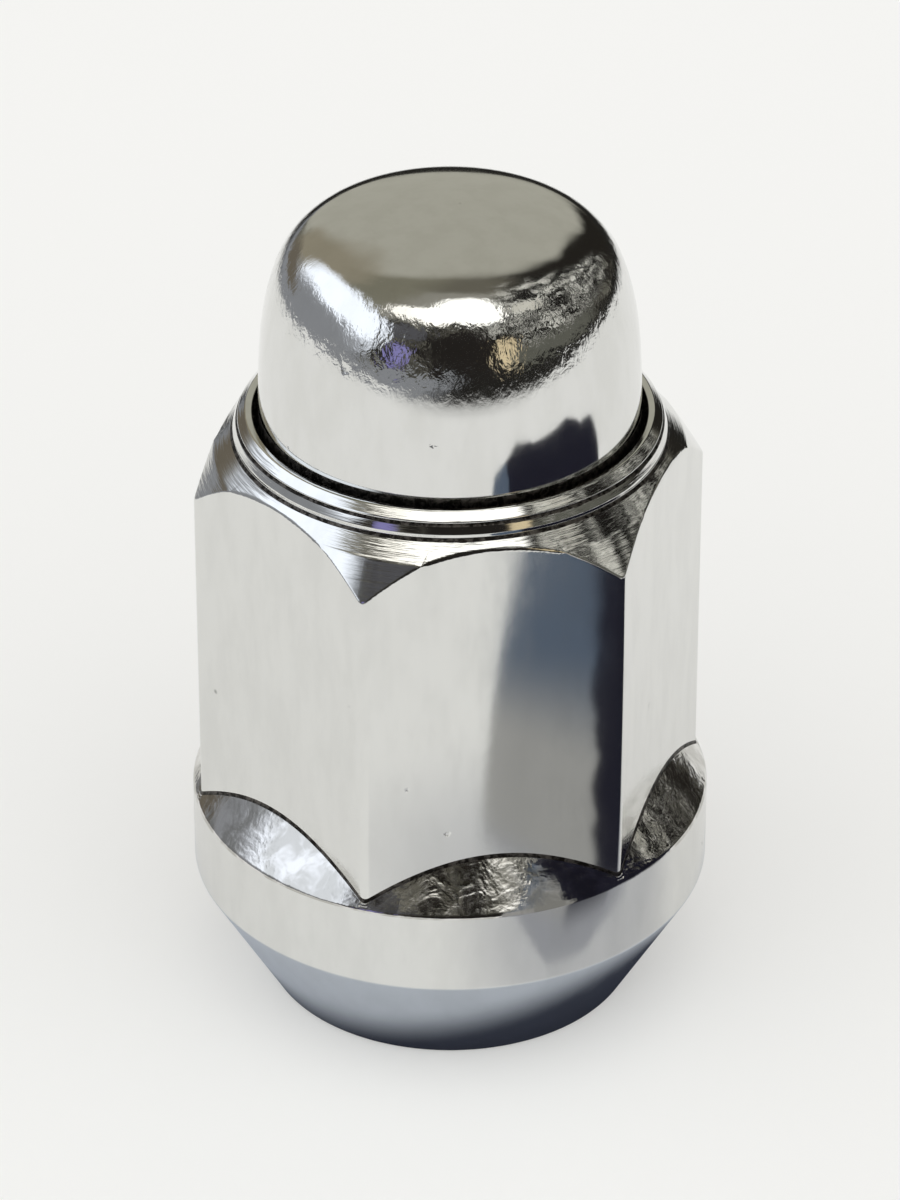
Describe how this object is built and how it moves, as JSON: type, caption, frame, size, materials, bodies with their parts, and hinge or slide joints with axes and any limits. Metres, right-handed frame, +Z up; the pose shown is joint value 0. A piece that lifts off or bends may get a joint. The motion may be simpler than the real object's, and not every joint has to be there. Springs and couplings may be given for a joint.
{
  "type": "lug nut",
  "caption": "Chrome closed-end acorn lug nut: hex body with a bulge above a conical seat, a tapped bore and a domed end cap.",
  "frame": {"origin": "centre of the open end's flat face, on the thread's axis", "axes": "+Z up the thread's axis from the open end to the domed cap; two of the wrench flats face -Y and +Y"},
  "size_m": [0.0222, 0.0222, 0.0369],
  "materials": {
    "chrome_body": "bright chrome plate over forged steel, slightly wavy, with fine pits and handling marks",
    "chrome_cap": "bright chrome plate over drawn steel sheet, slightly wavy round the dome's shoulder"
  },
  "bodies": {
    "root": {"nut_body": "chrome_body", "end_cap": "chrome_cap"}
  },
  "joints": []
}
